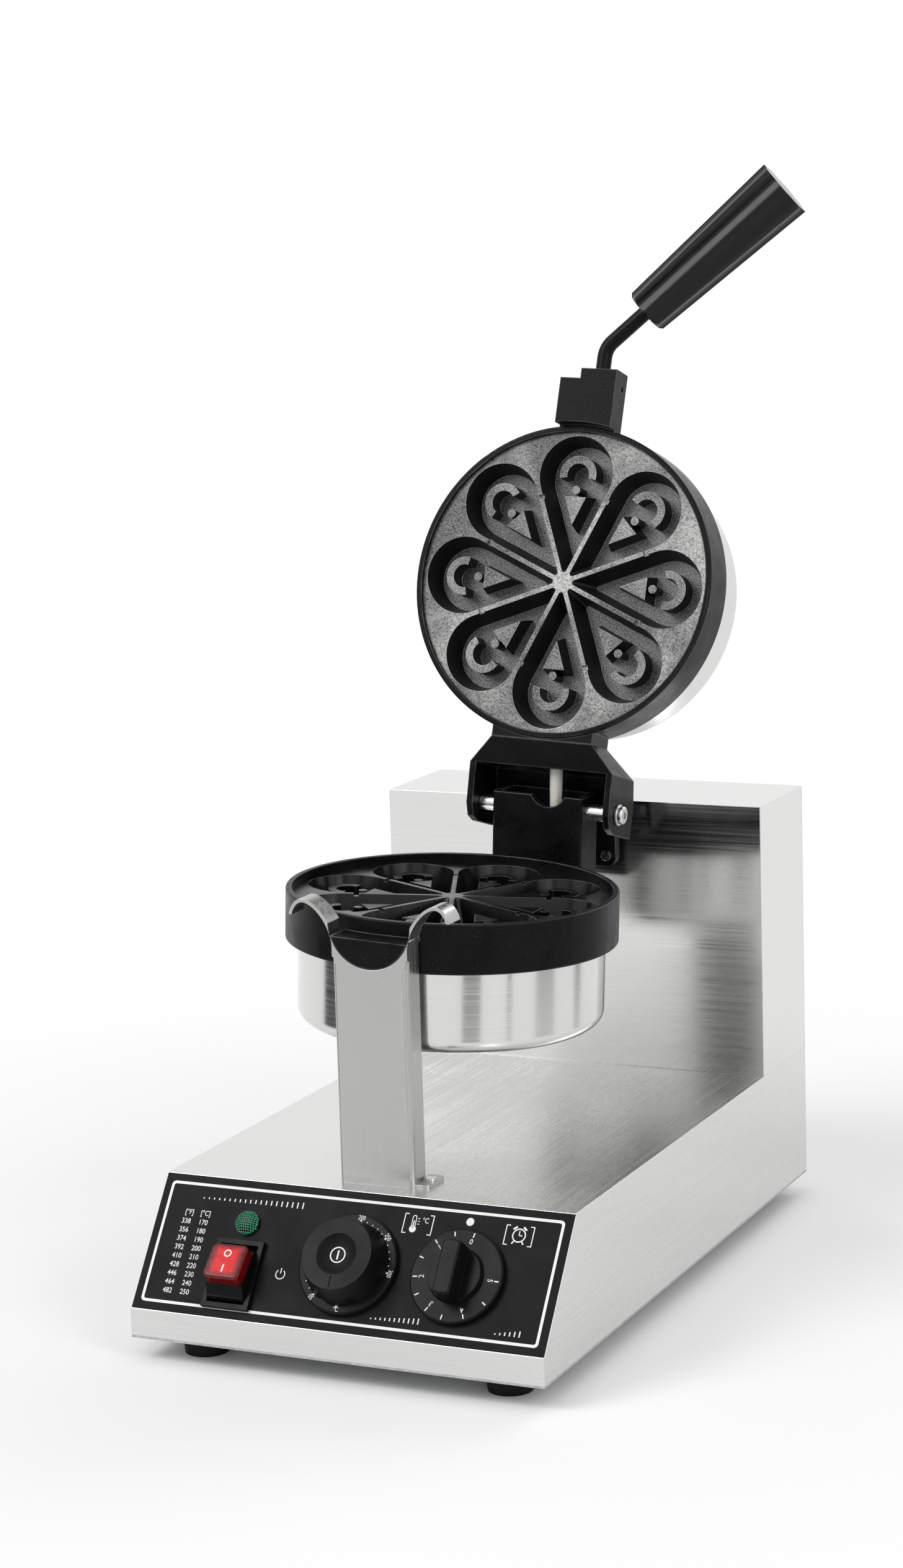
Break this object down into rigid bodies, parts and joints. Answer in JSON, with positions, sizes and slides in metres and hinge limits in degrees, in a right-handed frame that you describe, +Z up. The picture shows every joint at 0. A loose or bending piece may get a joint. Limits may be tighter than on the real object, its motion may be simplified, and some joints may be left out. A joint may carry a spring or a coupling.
{
  "type": "rotating waffle maker",
  "caption": "Countertop waffle maker: stainless base with sloped control panel, rear column and front cradle post, turning head with drop-pattern moulds, hinged lid with fluted handle.",
  "frame": {"origin": "centre of the sheet-metal base's footprint, on the table under the feet", "axes": "+Z up, front and control panel towards -Y, column towards +Y, handle leaning towards +X"},
  "size_m": [0.2671, 0.4398, 0.6491],
  "materials": {
    "brushed_stainless": "brushed, bright",
    "polished_stainless": "fine brushed, near mirror",
    "zinc_sheet": "galvanised",
    "screw_steel": "bright zinc",
    "fascia_black": "satin printed panel",
    "cast_black": "satin black, slightly speckled",
    "mould_grey": "grey non-stick coating",
    "mould_black": "glossy black non-stick coating",
    "bakelite": "glossy black",
    "switch_black": "semi-gloss black",
    "rocker_red": "translucent red",
    "lamp_green": "faceted green lens",
    "black_rubber": "matt",
    "heater_steel": "heat-tinted",
    "control_plastic": "moulded",
    "white": "glazed or printed white",
    "brass": "plain"
  },
  "bodies": {
    "base": {"base_shell": "brushed_stainless", "base_bottom_plate": "zinc_sheet", "feet": "black_rubber", "feet_screws": "screw_steel", "fascia_panel": "fascia_black", "column_cover": "brushed_stainless", "column_back_panel": "brushed_stainless", "back_screws": "screw_steel", "column_screws": "screw_steel", "bearing_housing": "cast_black", "shaft_bush": "brass", "bearing_screws": "screw_steel", "front_post": "brushed_stainless", "post_screws": "screw_steel", "switch_housing": "switch_black", "switch_terminals": "brass", "pilot_lamp_lens": "lamp_green", "pilot_lamp_body": "control_plastic", "thermostat_body": "control_plastic", "timer_body": "zinc_sheet", "timer_bell": "screw_steel", "control_screws": "screw_steel", "terminal_block": "white", "cable_gland": "black_rubber", "gland_nut": "black_rubber"},
    "rocker": {"power_rocker": "switch_black", "rocker_cap": "rocker_red"},
    "temperature_control": {"temperature_dial": "bakelite", "temperature_knob": "bakelite", "temperature_spindle": "brass"},
    "timer_control": {"timer_dial": "bakelite", "timer_knob": "bakelite", "timer_spindle": "brass"},
    "head": {"lower_ring_housing": "cast_black", "lower_mould_plate": "mould_black", "lower_heater": "heater_steel", "lower_can": "polished_stainless", "lower_can_screw": "screw_steel", "hinge_block": "cast_black", "block_screws": "screw_steel", "pivot_shaft": "zinc_sheet", "shaft_collar": "zinc_sheet", "collar_screw": "screw_steel", "hinge_bolts": "screw_steel", "hinge_washers": "screw_steel", "hinge_spacers": "screw_steel", "hinge_nuts": "screw_steel", "wire_sleeve": "white"},
    "lid": {"upper_ring_housing": "cast_black", "upper_mould_plate": "mould_grey", "upper_heater": "heater_steel", "upper_can": "polished_stainless", "upper_can_screw": "screw_steel", "hinge_bracket": "cast_black", "bracket_screws": "screw_steel", "lid_wire_sleeve": "white", "handle_rod": "cast_black", "handle_grip": "bakelite", "handle_lock_screw": "screw_steel"}
  },
  "joints": [
    {"name": "drum_flip", "type": "hinge", "parent": "base", "child": "head", "pos_m": [0, -0.0416, 0.2425], "axis": [0, 1, 0], "range_deg": [-35, 0]},
    {"name": "lid_hinge", "type": "hinge", "parent": "head", "child": "lid", "pos_m": [0.0011, 0.0954, 0.26497], "axis": [0.9988, 0, -0.0488], "range_deg": [0, 106]},
    {"name": "rocker_tilt", "type": "hinge", "parent": "base", "child": "rocker", "pos_m": [-0.0668, -0.19781, 0.04856], "axis": [1, 0, 0], "range_deg": [0, 22]},
    {"name": "temperature_turn", "type": "hinge", "parent": "base", "child": "temperature_control", "pos_m": [0.001, -0.1925, 0.0607], "axis": [0, -0.8015, 0.598], "range_deg": [-175, 92]},
    {"name": "timer_turn", "type": "hinge", "parent": "base", "child": "timer_control", "pos_m": [0.0664, -0.1925, 0.0607], "axis": [0, -0.8015, 0.598], "range_deg": [-268, 0]}
  ]
}
